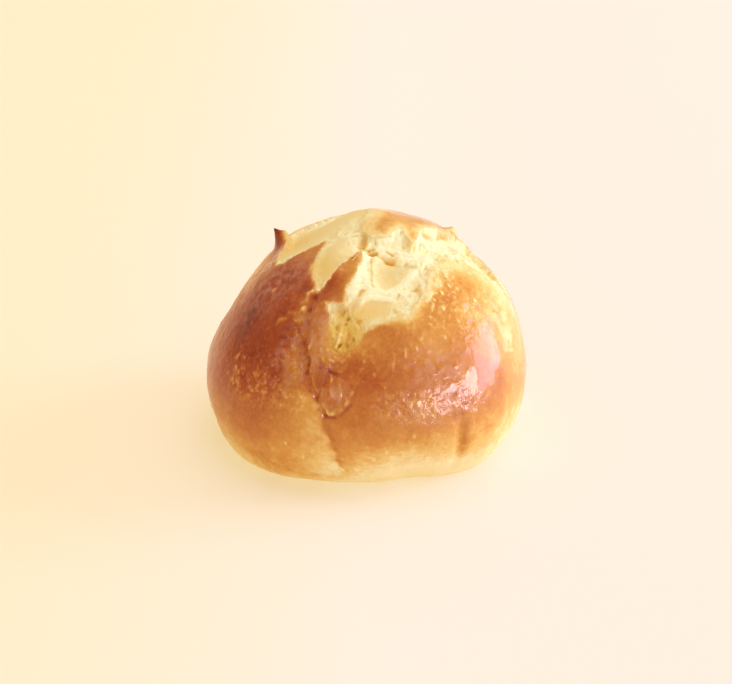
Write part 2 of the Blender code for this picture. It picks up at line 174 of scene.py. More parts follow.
# Broad lumps of the crust: azimuth, distance, half length, half width, turn, height
LUMPS = (
    (-108.5, 46, 13, 4.8, 85, 1.2), (-112, 58, 5.5, 4.5, 90, 0.6), (-135, 48, 16, 8, 80, 0.6),
    (-98, 81, 7, 6, 0, 0.8), (-86, 85, 8, 4, 0, 0.9), (-50, 62, 14, 10, 70, 0.5),
    (-70, 54, 12, 9, 20, -0.3), (-45, 78, 9, 6, 0, 0.5), (100, 58, 16, 12, 60, 0.7),
    (35, 62, 14, 10, 80, 0.6), (128, 50, 14, 9, 80, 0.6), (175, 68, 12, 9, 80, 0.4),
    (168, 34, 9, 5, 0, -1.3), (142, 22, 11, 8, 0, -1.7), (-178, 55, 18, 14, 0, -0.7),
    (20, 36, 11, 7, 0, -1.6), (50, 12, 9, 6, 0, -0.4),
)

# Pleats where the dough gathers into the foot
PLEATS = 19
PLEAT_HEIGHT = 0.55 * MM
PLEAT_SEED = 7
PLEAT_DISTANCE = 81 * MM
PLEAT_SPREAD = 6 * MM
PLEAT_WIDTHS = (0.05, 0.11)
PLEAT_SHARES = (-0.8, 1)
PLEAT_OFFSETS = (0.2, 0.8)

# Smooth noise
NOISE_SEED = 29
NOISE_KINDS = 256
NOISE_SHIFT = np.array([17.3, 5.7, 11.9])
NOISE_GAIN = 1.6

# Meshes: the crust's sphere is closer-meshed at the front, the crumb is a square grid
COLUMNS = 480
ROWS = 200
SIDE_SHARE = 0.955
FRONT = -90 * DEG
FRONT_DENSITY = 0.45
MIDDLE_DENSITY = 0.28
CRUMB_GRID = 0.23 * MM
CRUMB_REACH = 50 * MM
CRUMB_MARGIN = 1.1 * MM
CRUMB_THICKNESS = 0.7 * MM

# The torn edge of the crust: rags (size, height and seed), the step down to the crumb, which is
# nearly flush where the lip is low or the crust pale, and the wall and the overhang of the lip
EDGE_SNAP = 0.3 * MM
SNAP_ROUNDS = 2
EDGE_PROBE = 0.05 * MM
EDGE_STEEPNESS = 0.3
EDGE_RAGS = ((3.2, 0.6, 11), (1.1, 0.36, 12))
RAGS_REACH = 3.2 * MM
EDGE_STEP = 0.22 * MM
EDGE_TUCK = 0.8
FLUSH_SHARE = 0.9
FLUSH_WIDTH = 3 * MM
FLUSH_LIP = 0.3 * MM
WALL_DEPTH = 1.4 * MM
WALL_WIDTH = 0.5 * MM
LIP_HANG = 0.35
LIP_HANG_FADE = 1.6 * MM
SHARP_ANGLE = 55 * DEG

# Relief of the crust. Noise: size, height and seed. Ridges and cracks of the skin: half width,
# height, added brown, then azimuth and distance. The added brown makes ridges paler and cracks
# darker: partly the glaze's own colour, partly painted highlights and painted shade
CRUST_NOISE = ((9, 0.2, 1), (2.8, 0.07, 2), (1.2, 0.035, 3))
RIDGES = (
    (0.5, 0.45, -0.3, ((-106, 56.9), (-107, 59.1), (-106, 61), (-103, 63.4), (-100, 63),
                       (-98, 60.9), (-96, 57.9), (-94, 54.9))),
    (0.5, -0.3, 0.26, ((-107.6, 61), (-105, 64.2), (-100, 64.2), (-97, 61.8), (-94.6, 58.4))),
    (0.45, 0.42, -0.26, ((-134, 43.6), (-131, 41.1), (-130, 39.2), (-127, 39.1), (-124, 36.8))),
    (0.45, 0.36, -0.24, ((-129, 40.4), (-126, 41), (-124, 41.2))),
    (0.8, 0.36, -0.1, ((-124, 40), (-123, 43.4), (-121, 44.5))),
    (0.6, 0.42, -0.26, ((-115, 45.5), (-115, 48.1), (-111.6, 49))),
    (0.45, 0.42, -0.2, ((-112.6, 50.2), (-112, 53.3), (-110, 56.2), (-108.6, 57.6))),
    (0.7, 0.28, -0.42, ((-120.5, 29), (-122, 31.1), (-125, 33.6), (-125, 35.6))),
    (0.5, 0.3, -0.2, ((-116, 34.7), (-118, 37))),
    (0.8, -0.3, 0.2, ((-124, 42), (-120, 45.3), (-115.6, 48.1), (-113.6, 50.4), (-114.4, 54),
                      (-109.6, 59))),
    (1, -0.2, 0.12, ((-109.6, 59), (-106, 63.2), (-104, 67.9), (-102, 71.5), (-101, 75.4),
                     (-100, 80))),
    (0.5, -0.2, 0.16, ((-105, 55.4), (-107, 57.6), (-109, 59.6))),
    (0.8, -0.2, 0.2, ((-121, 32.7), (-121, 37.5), (-118.6, 41.8))),
    (0.4, 0.22, -0.14, ((-62, 59.1), (-59, 57.1), (-54, 57.6), (-51, 54.6))),
    (0.4, 0.34, -0.16, ((-67, 60.6), (-68, 61.7), (-67, 63), (-67, 65.2))),
    (0.35, 0.22, -0.16, ((-58, 40.6), (-57, 42.2))),
    (0.35, 0.22, -0.16, ((-67, 42.6), (-68, 43.8))), (0.35, 0.2, -0.14, ((-65, 47.1), (-67, 48.1))),
    (0.35, 0.22, -0.18, ((-76, 46.2), (-76, 47.8))), (0.35, 0.2, -0.16, ((-80, 47), (-81, 51.5))),
    (0.5, 0.3, -0.3, ((-54, 27.2), (-57, 29.8), (-60, 32.4))),
    (0.5, 0.3, -0.3, ((-56, 32.3), (-62, 34.4))), (0.45, 0.24, -0.24, ((-59, 35.3), (-61, 36.9))),
    (0.35, 0.16, -0.14, ((-117, 64.4), (-115, 63.5))),
    (0.4, 0.16, -0.12, ((-50, 38.5), (-43, 38), (-36, 39))),
    (0.4, 0.3, -0.24, ((-106.6, 47), (-105, 49.4), (-102.4, 50.6))),
    (0.4, 0.3, -0.24, ((-103.6, 48.4), (-100.6, 49.6), (-98.4, 47.6))),
    (0.4, 0.26, -0.2, ((-109.6, 44.2), (-109, 47.4), (-107.4, 50))),
    (0.4, 0.26, -0.22, ((-104.4, 53.4), (-103.8, 56.2), (-102.6, 58.6))),
    (0.4, 0.26, -0.22, ((-100.4, 54.6), (-99.4, 57.2), (-99.8, 59.6))),
    (0.5, -0.24, 0.24, ((-108.4, 52), (-104.6, 52.6), (-101, 53))),
    (0.4, 0.3, -0.12, ((-121.6, 48), (-119.6, 50.6), (-118.4, 53.6))),
    (0.4, 0.26, -0.12, ((-125.4, 44.6), (-123.4, 47.4), (-122.8, 50.6))),
    (0.4, 0.26, -0.1, ((-119, 55), (-116, 57.6), (-112.4, 60.8))),
)
RIDGE_BEND = (2.4, 0.55, 71)
RIDGE_BREAKS = (1.6, 73)
RIDGE_AMOUNT = 0.7
RIDGE_UNEVENNESS = 1.5
RIDGE_LIMITS = (0.1, 1.3)
BLISTERS = 900
BLISTER_SEED = 3
BLISTER_DISTANCES = (24, 84)
BLISTER_WIDTHS = (0.3, 0.75)
BLISTER_HEIGHTS = (-0.08, 0.2)
BLISTER_CUT = 3

# Larger blisters: azimuth, distance, half width and height. Below them, places where the skin
# is drawn smooth: azimuth, distance, half length, half width, turn and amount
LARGE_BLISTERS = (
    (-148, 36.1, 0.6, 0.5), (-124, 37.2, 0.6, 0.45), (-131, 52, 0.45, 0.2), (-141, 58, 0.5, 0.2),
    (-46, 26.9, 0.32, 0.4), (-42, 28.9, 0.4, 0.45), (-53, 29.4, 0.3, 0.35), (-44, 31.4, 0.35, 0.5),
    (-51, 33, 0.42, 0.5), (-49, 30.6, 0.3, 0.35), (-54, 37, 0.4, 0.45), (-49, 41.4, 0.35, 0.4),
    (-34, 38.4, 0.35, 0.4), (-45, 35.1, 0.3, 0.45), (-23, 32, 0.3, 0.3), (-57, 34.2, 0.3, 0.4),
    (-40, 33.4, 0.35, 0.4), (-38, 30.2, 0.3, 0.35), (-62, 38.6, 0.3, 0.3), (-58, 44.6, 0.3, 0.35),
    (-71, 46, 0.3, 0.3), (-88, 52.4, 0.3, 0.35), (-84, 56, 0.3, 0.3), (-92, 49, 0.35, 0.35),
    (-74, 70, 0.4, 0.3), (-83, 74.5, 0.35, 0.3), (-118, 74, 0.4, 0.3), (-112, 78, 0.3, 0.3),
    (-138, 46, 0.3, 0.3), (-143, 42, 0.3, 0.3), (-134, 54.6, 0.3, 0.3), (-150, 47, 0.35, 0.3),
    (-128, 57, 0.3, 0.3), (-101, 80.5, 0.8, 0.35), (-98.6, 81.4, 0.6, 0.3), (-81, 81.8, 0.6, 0.3),
    (-74, 82.4, 0.5, 0.25), (-64, 82, 0.6, 0.25),
)
# Large blisters are painted paler by this much: partly their own colour, partly painted glints
BLISTER_PALENESS_AND_GLINT = 1
BLISTER_STRETCH = 1.4
RELIEF_PALENESS = 0.3
CALM_SPOTS = ((-37, 54, 9, 8, 0, 1), (-46, 58, 5, 4, 0, 1), (-108, 41, 3.6, 5.5, 0, 1))
CALM_SHARE = 0.85
CALM_EASE = 1.5

# Wrinkled skin: azimuth, distance, half length, half width, turn and amount
WRINKLES = (
    (-124, 45, 11, 3.4, 80, 1), (-117, 51, 9, 3.6, 78, 0.9), (-130, 33, 9, 5, 60, 0.5),
    (-106, 52, 5, 5, 60, 0.7), (-111, 42, 7, 4, 85, 0.35), (-124, 60, 9, 4, 80, 0.6),
    (-140, 60, 10, 5, 80, 0.5), (-101, 60, 5, 4, 60, 0.5), (-56, 63.5, 9, 4.5, 8, 0.65),
    (-77, 61, 8, 4, 0, 0.6), (-40, 42, 8, 4, 60, 0.6), (-48, 30, 7, 5, 60, 0.6),
    (-25, 46, 8, 5, 80, 0.4), (-34, 62, 5, 4, 60, 0.2), (174, 44, 16, 8, 80, 0.45),
    (-166, 34, 9, 6, 60, 0.3), (-96, 46, 6, 5, 80, 0.3), (-70, 52, 12, 9, 60, 0.14),
    (-110, 84, 34, 4, 0, 0.5), (100, 50, 12, 7, 60, 0.6), (30, 46, 9, 6, 60, 0.6),
    (160, 56, 9, 6, 60, 0.5), (70, 74, 14, 6, 0, 0.4),
)
WRINKLE_NOISE = (3, 51)
WRINKLE_HEIGHT = 0.34 * MM
CREASE_SHARPNESS = 2.4
CRUST_FADE = 0.4 * MM

# Relief of the crumb. Noise: size, height and seed
CRUMB_NOISE = ((4.5, 0.22, 21), (1.5, 0.14, 22), (0.7, 0.06, 23))
CRUMB_FADE = 0.9 * MM
STRAND_STRETCH = np.array([1, 0.55, 1])
STRAND_BEND = np.array([2.2, 1.4, 0]) * MM
STRAND_BEND_NOISE = (7, 31)
STRAND_SHARPNESS = 2.6
PORE_DEPTH = 0.3 * MM
PORE_NOISE = (1.9, 41)
PORE_START = 0.34
PORE_RISE = 0.2
SMOOTH_CRUMB = (
    (-15.5, 4, 15, 11, 20), (-11.6, -17, 7, 4, 60), (4.8, -23.4, 5, 4, 80), (1.6, -33.8, 6, 3, 15),
)
SMOOTH_SHARE = 0.86
SMOOTH_EASE = 1.6

# How brown the crust is: amount by distance from the top, then spots at azimuth, distance,
# half length, half width, turn and amount. The broad pale spot at azimuth -6 paints in the strong
# light on the right side
BROWNING = (
    (0, 0.4), (20, 0.42), (36, 0.5), (50, 0.55), (64, 0.52), (74, 0.42), (80, 0.27), (85, 0.13),
    (91, 0.05),
)
BROWNING_AND_LIGHT_SPOTS = (
    (-150, 50, 19, 17, 85, 0.38), (-138, 28, 13, 8, 30, 0.24), (-128, 43, 10, 6, 80, 0.06),
    (-117, 24, 5, 4, 30, -0.12), (-128, 26, 6, 2.6, 60, -0.1), (-107, 55, 3, 2.5, 0, 0.08),
    (-112, 26, 7, 4.5, 55, 0.08), (-116, 29.5, 4, 3.2, 55, 0.18), (-107, 22.5, 5, 2.8, 84, -0.13),
    (-146, 24, 6, 3.4, 0, -0.1), (-103, 27, 7, 1.1, 84, -0.2), (-128, 60, 9, 5, 0, 0.12),
    (-146, 76, 18, 8, 0, -0.04), (-103, 43.5, 4.4, 3.4, 84, -0.34), (-98, 43.5, 3.6, 2.6, 0, -0.24),
    (-108.5, 39, 3.6, 1.4, 84, -0.14), (-35, 31, 6, 5, 0, 0.03), (-92, 57, 8, 9, 0, 0.08),
    (176, 58, 14, 16, 0, 0.06), (-120, 86, 15, 6, 0, 0.14), (-94, 70, 7, 8, 0, -0.03),
    (-84, 54, 12, 7, 0, 0.06), (-48, 50, 8, 9, 0, 0.1), (-80, 76, 14, 6, 0, -0.15),
    (-56, 42, 10, 8, 0, -0.08), (-50, 34, 9, 7, 0, 0.02), (-62, 74, 8, 6, 0, -0.1),
    (-55, 75.4, 5.6, 1.7, 88, 0.22), (-36, 61, 3.4, 1.8, 80, 0.1), (-72, 84, 20, 5, 0, -0.2),
    (-84, 89, 18, 4, 0, -0.1), (-130, 70, 9, 6, 0, 0.07), (-90, 84, 10, 4, 0, -0.06),
    (-116, 82, 24, 6, 0, 0.1), (-30, 78, 16, 9, 0, -0.2), (-30, 46, 16, 20, 80, -0.14),
    (-6, 56, 16, 26, 80, -0.22), (-40, 10, 9, 7, 0, -0.18), (40, 4, 7, 6, 0, -0.06),
    (-45, 8, 6, 5, 0, 0.04), (20, 14, 10, 7, 0, -0.04), (160, 30, 5, 4, 0, 0.46),
    (169, 41, 9, 6, 0, -0.3), (80, 10, 12, 6, 0, 0.08), (120, 45, 20, 12, 30, 0.12),
)

# Borders where the colour steps: brown added on the left and on the right, how far, then azimuth
# and distance
BROWNING_STEPS = (
    (-0.23, 0.04, 11, ((-112, 56.7), (-109, 59.1), (-106, 63.2), (-104, 67.9), (-102, 71.5),
                       (-101, 75.4), (-100, 79.2), (-100, 86))),
    (0.08, -0.08, 5, ((-128, 36), (-126.5, 43), (-125.5, 47), (-124.5, 51), (-123, 56),
                      (-120.5, 61))),
)
STEP_RAGS = (2.6, 0.9, 77)
STEP_WIDTH = 1.9 * MM
STEP_END = 4

# Along the opening the crust is paler, over the pale width, unless that is next to nothing
EDGE_PALENESS = 0.8
PALE_START = 0.4 * MM

# Mottles and grains here and below are layers of noise: size, amount and detail. Crinkles and
# threads are thin winding lines: size, detail, distortion and reach. Rows of four such as
# GLAZE_PATCHES are a value's lowest and highest, and what they become
NOISE_MIDDLE = 0.5
BROWNING_MOTTLE = ((10, 0.3, 3), (3, 0.38, 5), (0.9, 0.14, 3))
CRINKLES = (2.8, 2, 1, 0.08)
CRINKLE_BROWN = 0.1
CRINKLE_BUMP = 1.6

# Mauve sheen painted into the glaze colour, a painted reflection of the room's light, with spots
# laid out as the brown spots
PAINTED_SHEEN_SPOTS = (
    (-148, 32, 13, 7, 60, 0.7), (-112, 42, 8, 3.2, 85, 0.9), (-125, 48, 12, 2.6, 78, 0.8),
    (-119, 56, 6, 2.6, 70, 0.6), (-101, 59, 4, 3.4, 40, 0.9), (-107, 50, 3, 3, 0, 0.6),
    (-62, 52, 9, 8, 0, 0.8), (-76, 62, 8, 4, 0, 0.7), (-56, 62, 9, 4, 8, 0.8),
    (-168, 56, 14, 7, 80, 0.4), (110, 50, 14, 9, 60, 0.6),
)
PAINTED_SHEEN_COLOUR = (0.74, 0.44, 0.37)
PAINTED_SHEEN_NOISE = (2.2, 4)
PAINTED_SHEEN_PATCHES = (0.38, 0.6, 0, 0.42)

# Pale specks, partly the crust's own flecks and partly painted glints, with spots laid out as
# the brown spots. Noise: detail and distortion. Layers: size, where in the noise a speck begins
# and where it is full, and amount
SPECK_AND_GLINT_SPOTS = (
    (-135, 60.5, 17, 5, 0, 1), (-145, 57, 5, 5, 0, 0.5), (-78, 61, 8, 5, 0, 0.7),
    (-96, 50, 10, 5, 0, 0.4), (-62, 42, 12, 8, 0, 0.4), (-48, 31, 7, 6, 0, 0.6),
    (-34, 42, 8, 5, 0, 0.5), (-84, 78, 20, 5, 0, 0.3), (-130, 44, 14, 10, 80, 0.2),
    (60, 50, 20, 14, 0, 0.5), (150, 62, 16, 10, 0, 0.4),
)
SPECK_AND_GLINT_SHARE = 0.12
SPECK_AND_GLINT_NOISE = (4, 0.2)
SPECK_AND_GLINT_LAYERS = ((3, 0.46, 0.7, 0.38), (1.1, 0.56, 0.68, 0.25))

# Colour of the crust from pale to dark
CRUST_COLOURS = (
    (0, (1, 0.86, 0.53)), (0.18, (0.9, 0.6, 0.21)), (0.34, (0.76, 0.36, 0.075)),
    (0.52, (0.61, 0.205, 0.032)), (0.7, (0.47, 0.09, 0.011)), (0.86, (0.33, 0.042, 0.005)),
    (1, (0.17, 0.022, 0.004)),
)
WALL_COLOUR = (0.9, 0.68, 0.36)
WALL_REACH = (-0.12, 0.02)

# Glaze: amount by distance from the top, then spots as above
GLOSS = ((0, 0.7), (30, 0.85), (66, 0.85), (76, 0.45), (86, 0.2))
GLOSS_SPOTS = (
    (174, 54, 16, 12, 0, -0.3), (-152, 52, 16, 16, 80, -0.55), (-80, 62, 22, 14, 0, -0.25),
    (-58, 80, 30, 6, 0, -0.2), (165, 30, 12, 6, 80, -0.6),
)
GLAZE_NOISE = (2.4, 3)
GLAZE_PATCHES = (0.3, 0.7, 0.75, 1)
CRUST_ROUGHNESS = (0.62, 0.34)
CRUST_SPECULAR = 0.2
COAT_ROUGHNESS = 0.028
COAT_IOR = 1.45
CRUST_SCATTER = 0.12
CRUST_BUMP = 0.09 * MM
CRUST_GRAIN = ((0.9, 0.32, 3), (3, 1.6, 2))
CALM_GRAIN = 0.1

# Crumb colour: tone all over, then flat spots: x, y, half length, half width, turn and amount
CRUMB_TONE = 0.12
RIM_TONE = 0.22
RIM_TONE_WIDTH = 1.6 * MM
CRUMB_SPOTS = (
    (-3.4, -23, 6, 1.5, 85, -0.24), (-6.2, -30, 4, 1.4, 75, -0.2), (4.8, -23.4, 6, 5, 80, 0.16),
    (1.6, -34.5, 7, 3, 15, 0.18), (-8.8, -44, 10, 8.6, 85, 0.84), (-3.3, -14.2, 3.6, 0.9, 86, 0.7),
    (10.8, -11.4, 2, 1.2, 0, 0.3), (15.6, -3.8, 1.3, 0.8, 30, 0.6), (20.8, 0.4, 1.6, 0.8, 30, 0.6),
    (-19, 3, 20, 15, 20, 0.27), (-14, -20, 7, 5, 70, 0.34), (34, -1, 12, 6, 5, 0.26),
    (-25, -1, 11, 6, 95, 0.16),
)
CRUMB_MOTTLE = ((6, 0.16, 3), (1.6, 0.16, 4), (0.6, 0.1, 3))
CRUMB_GRAIN = ((0.5, 1, 5), (1.8, 1.5, 3))
# Hollows of the crumb are painted more golden by their depth: painted shade
PAINTED_HOLLOW_SHADE = -0.55
THREADS = (2.4, 2, 1.6, 0.05)
THREAD_TONE = 0.09
THREAD_BUMP = 0.5
CRUMB_COLOURS = (
    (0, (1, 0.93, 0.7)), (0.35, (1, 0.74, 0.38)), (0.65, (0.94, 0.6, 0.15)),
    (1, (0.66, 0.31, 0.05)),
)
# The palest crumb gives off a little light of its own colour: painted glow
CRUMB_PAINTED_GLOW = (0.05, 0.32, 0.15, 0)
CRUMB_ROUGHNESS = 0.6
CRUMB_SPECULAR = 0.3
CRUMB_SCATTER = 0.35
CRUMB_BUMP = 0.16 * MM
SCATTER_RADIUS = (1, 0.55, 0.25)
SCATTER_SCALE = 1.6 * MM

# Floor, from its left to its right, and the light that comes up through it
FLOOR_SIZE = 4
FLOOR_SPREAD = (-0.13, 0.13)
FLOOR_COLOURS = ((0, (0.535, 0.46, 0.52)), (0.5, (0.5, 0.47, 0.72)), (1, (0.49, 0.45, 0.71)))
FLOOR_NOISE = (0.6, 2)
FLOOR_SPECKLE = (0.3, 0.7, 0.985, 1)
FLOOR_GLOW = (1, 0.85, 0.4)
FLOOR_GLOW_STRENGTH = 0.51
FLOOR_ROUGHNESS = 0.7
FLOOR_SPECULAR = 0.1

# Lights: name, place, what it looks at, width and height, brightness, colour, the pieces that it
# lights where that isn't everything, and whether it shows as light, as a gloss or as both
SHOULDER = (0.036, -0.028, 0.05)
LIGHTS = (
    ("ceiling", (0.4, 0.3, 2.2), (0, 0, 0.03), (1.8, 1.8), 1.4, (1, 0.95, 0.84), None, "both"),
    ("window_on_floor", (2, 0.46, 0.62), (0, 0, 0), (1, 1.15), 7, (1, 0.93, 0.92), "floor", "both"),
    ("window", (0.3, 0.033, 0.066), SHOULDER, (0.2, 0.125), 5.5, (1, 0.93, 0.84), "bun", "light"),
    ("window_glint", (0.3, 0, 0.06), SHOULDER, (0.15, 0.13), 7.5, (0.85, 0.5, 0.9), "bun", "gloss"),
    ("window_side", (0.26, 0.13, 0.04), SHOULDER, (0.07, 0.12), 4, (1, 0.88, 0.7), "bun", "gloss"),
    ("low_glint", (0.28, -0.2, 0.03), (0.03, -0.038, 0.03), (0.26, 0.11), 19, (0.95, 0.72, 0.85),
     "bun", "gloss"),
)
ROOM_HEIGHTS = (-0.1, 0.9)
ROOM_COLOURS = ((0, (1, 0.82, 0.54)), (1, (1, 0.85, 0.6)))
ROOM_STRENGTHS = (0.59, 0.88)

# Mix node: its inputs for the share and for two colours, and its output for the colour
MIX_INPUTS = (0, 6, 7)
MIX_OUTPUT = 2

# Camera
CAMERA_ELEVATION = 26 * DEG
CAMERA_DISTANCE = 500 * MM
CAMERA_TARGET = (0.16 * MM, 0, 25.68 * MM)
SENSOR_WIDTH = 36
LENS = 85.26


def bell(distance, width):
    """Smooth bump: 1 at no distance, fading over the width."""
    return np.exp(-(distance / width) ** 2)


def ease(value):
    """Smooth step from 0 to 1 as the value goes from 0 to 1."""
    clipped = np.clip(value, 0, 1)
    return clipped * clipped * (3 - 2 * clipped)


def swing_between(start, end):
    """Angle from one direction to another, the short way round."""
    return (end - start + math.pi) % TURN - math.pi


def turned_profile():
    """Distance from the top, radius and height along the Bezier profile."""
    order = len(PROFILE) - 1
    share = np.linspace(0, 1, PROFILE_STEPS)
    weights = [math.comb(order, index) * share ** index * (1 - share) ** (order - index)
               for index in range(order + 1)]
    radius, height = np.array(PROFILE).T @ np.array(weights) * MM
    steps = np.hypot(np.diff(radius), np.diff(height))
    return np.concatenate([[0], np.cumsum(steps)]), radius, height


PROFILE_DISTANCES, PROFILE_RADII, PROFILE_HEIGHTS = turned_profile()
SIDE_LENGTH = PROFILE_DISTANCES[-1]


def noise_tables():
    """Shuffled order of the noise's cells, and a slope for each kind of cell."""
    random = np.random.default_rng(NOISE_SEED)
    slopes = random.normal(size=(NOISE_KINDS, 3))
    return random.permutation(NOISE_KINDS), slopes / np.linalg.norm(slopes, axis=1, keepdims=True)


NOISE_ORDER, NOISE_SLOPES = noise_tables()


def rounded_square(azimuth, squareness, depth_ratio):
    """Radius of a round form with slightly flattened sides, 1 along X."""
    across = np.abs(np.cos(azimuth)) ** squareness
    deep = np.abs(np.sin(azimuth) / depth_ratio) ** squareness
    return (across + deep) ** (-1 / squareness)


def foot_dents(azimuth):
    """Share of the radius by which the foot is drawn in."""
    return sum(share * bell(swing_between(centre * DEG, azimuth), half_width * DEG)
               for centre, half_width, share in FOOT_DENTS)


def dome_points(azimuth, distance):
    """Points of the smooth dome, a distance from the top along its profile."""
    height = np.interp(distance, PROFILE_DISTANCES, PROFILE_HEIGHTS)
    dome_plan = rounded_square(azimuth, DOME_SQUARENESS, 1)
    foot_plan = rounded_square(azimuth, FOOT_SQUARENESS, FOOT_DEPTH_RATIO)
    plan = foot_plan + (dome_plan - foot_plan) * ease(height / FOOT_BLEND_HEIGHT)
    plan -= foot_dents(azimuth) * (1 - ease(height / FOOT_DENT_HEIGHT))
    swell = 1 + SHOULDER_SWELL * np.cos(azimuth) * bell(height - SHOULDER_HEIGHT, SHOULDER_SPREAD)
    radius = np.interp(distance, PROFILE_DISTANCES, PROFILE_RADII) * plan * swell
    lean = (height / HEIGHT) ** 2
    x = radius * np.cos(azimuth) + CROWN_SHIFT[0] * lean
    y = radius * np.sin(azimuth) + CROWN_SHIFT[1] * lean
    return np.stack([x, y, height], axis=-1)


def dome_normals(azimuth, distance):
    """Outward directions of the smooth dome."""
    middle = np.clip(distance, SLOPE_STEP, SIDE_LENGTH - SLOPE_STEP)
    down = dome_points(azimuth, middle + SLOPE_STEP) - dome_points(azimuth, middle - SLOPE_STEP)
    around = dome_points(azimuth + SWING_STEP, middle) - dome_points(azimuth - SWING_STEP, middle)
    normal = np.cross(down, around)
    return normal / np.linalg.norm(normal, axis=-1, keepdims=True)


def segment_distance(x, y, start, end):
    """Distance from points to a segment, and where along it the nearest spot lies."""
    run_x, run_y = end[0] - start[0], end[1] - start[1]
    from_x, from_y = x - start[0], y - start[1]
    along = (from_x * run_x + from_y * run_y) / (run_x ** 2 + run_y ** 2 + NEGLIGIBLE)
    share = np.clip(along, 0, 1)
    return np.hypot(from_x - share * run_x, from_y - share * run_y), share


def noise_field(points, size, seed):
    """Smooth noise between about -1 and 1 at the points, with features of a size in mm."""
    places = points / (size * MM) + seed * NOISE_SHIFT
    cells = np.floor(places).astype(int)
    inner = places - cells
    smooth = inner ** 3 * (inner * (inner * 6 - 15) + 10)
    total = np.zeros(places.shape[:-1])
    for corner in itertools.product((0, 1), repeat=3):
        key = np.zeros(total.shape, dtype=int)
        for axis in range(3):
            key = NOISE_ORDER[(key + cells[..., axis] + corner[axis]) % NOISE_KINDS]
        reach = np.where(corner, smooth, 1 - smooth).prod(axis=-1)
        total += reach * (NOISE_SLOPES[key] * (inner - corner)).sum(axis=-1)
    return total * NOISE_GAIN


def noise_sum(points, layers):
    """Sum of layers of noise in metres, each a size and a height in mm and a seed."""
    return sum(height * MM * noise_field(points, size, seed) for size, height, seed in layers)


def flat_points(x, y):
    """Flat places as points that noise can be read at."""
    return np.stack([x, y, np.zeros(x.shape)], axis=-1)


def opening_edge(x, y):
    """Signed distance to the opening's edge, positive on the crust, lip height and pale width."""
    nearest = np.full(x.shape, np.inf)
    inside = np.zeros(x.shape, dtype=bool)
    blended = np.zeros((2,) + x.shape)
    weight_sum = np.zeros(x.shape)
    corners = np.array(OPENING) * MM
    for start, end in zip(corners, np.roll(corners, -1, axis=0)):
        gap, share = segment_distance(x, y, start, end)
        nearest = np.minimum(nearest, gap)
        weight = (1 + gap / LIP_REACH) ** -LIP_SHARPNESS
        for row in (0, 1):
            blended[row] += weight * (start[row + 2] + share * (end[row + 2] - start[row + 2]))
        weight_sum += weight
        crossing_x = start[0] + (y - start[1]) * (end[0] - start[0]) / (end[1] - start[1])
        inside ^= ((start[1] > y) != (end[1] > y)) & (x < crossing_x)
    lip, pale_width = blended / weight_sum
    return np.where(inside, -nearest, nearest), lip, pale_width


def ragged_edge(x, y):
    """The opening's edge as it really tore, with small rags, lip height and pale width."""
    edge, lip, pale_width = opening_edge(x, y)
    near = np.abs(edge) < RAGS_REACH
    edge[near] += noise_sum(flat_points(x[near], y[near]), EDGE_RAGS)
    return edge, lip, pale_width


def edge_slope(x, y, edge):
    """How fast the distance to the torn edge grows along X and along Y."""
    slope_x = (ragged_edge(x + EDGE_PROBE, y)[0] - edge) / EDGE_PROBE
    slope_y = (ragged_edge(x, y + EDGE_PROBE)[0] - edge) / EDGE_PROBE
    return slope_x, slope_y


def snap_to_edge(x, y):
    """Flat places, with those close to the torn edge moved onto it so that it is cut clean."""
    for _ in range(SNAP_ROUNDS):
        edge = ragged_edge(x, y)[0]
        slope_x, slope_y = edge_slope(x, y, edge)
        steepness = np.maximum(slope_x ** 2 + slope_y ** 2, EDGE_STEEPNESS)
        shift = np.where(np.abs(edge) < EDGE_SNAP, edge, 0) / steepness
        x = x - shift * slope_x
        y = y - shift * slope_y
    return x, y


def oval_reach(dx, dy, half_length, half_width, turn):
    """Distance from the middle of a turned oval, 1 on its outline."""
    cos, sin = math.cos(turn * DEG), math.sin(turn * DEG)
    along = (dx * cos + dy * sin) / (half_length * MM)
    across = (dy * cos - dx * sin) / (half_width * MM)
    return np.hypot(along, across)


def flat_form(x, y, centre_x, centre_y, *sizes):
    """Share of a soft-edged oval at flat places, 1 at its centre."""
    return bell(oval_reach(x - centre_x * MM, y - centre_y * MM, *sizes), 1)


def side_form(side, centre_azimuth, centre_distance, *sizes):
    """Share of a soft-edged oval on the side of the bun, 1 at its centre."""
    azimuth, distance, radius = side
    dx = radius * swing_between(centre_azimuth * DEG, azimuth)
    return bell(oval_reach(dx, centre_distance * MM - distance, *sizes), 1)


def flat_spots(x, y, spots):
    """Sum of soft-edged spots at flat places."""
    return sum(amount * flat_form(x, y, *place) for *place, amount in spots)


def side_spots(side, spots):
    """Sum of soft-edged spots on the side of the bun."""
    return sum(amount * side_form(side, *place) for *place, amount in spots)


def highest_spot(side, spots):
    """The highest of soft-edged spots on the side of the bun."""
    return np.max([amount * side_form(side, *place) for *place, amount in spots], axis=0)


def path_gaps(side, knots):
    """For each part of a line of places: its ends, how far off it is and the share there."""
    azimuth, distance, radius = side
    for start, end in zip(knots, knots[1:]):
        swing = swing_between(azimuth, start[0] * DEG)
        near = (radius * swing, start[1] * MM - distance)
        far = (radius * (swing + (end[0] - start[0]) * DEG), end[1] * MM - distance)
        yield start, end, *segment_distance(0, 0, near, far)


def fold_relief(side):
    """Depth of the creases in the crust."""
    relief = np.zeros(side[0].shape)
    for half_width, knots in FOLDS:
        depths = [(start[2] + share * (end[2] - start[2])) * bell(gap, half_width * MM)
                  for start, end, gap, share in path_gaps(side, knots)]
        relief -= np.max(depths, axis=0) * MM
    return relief


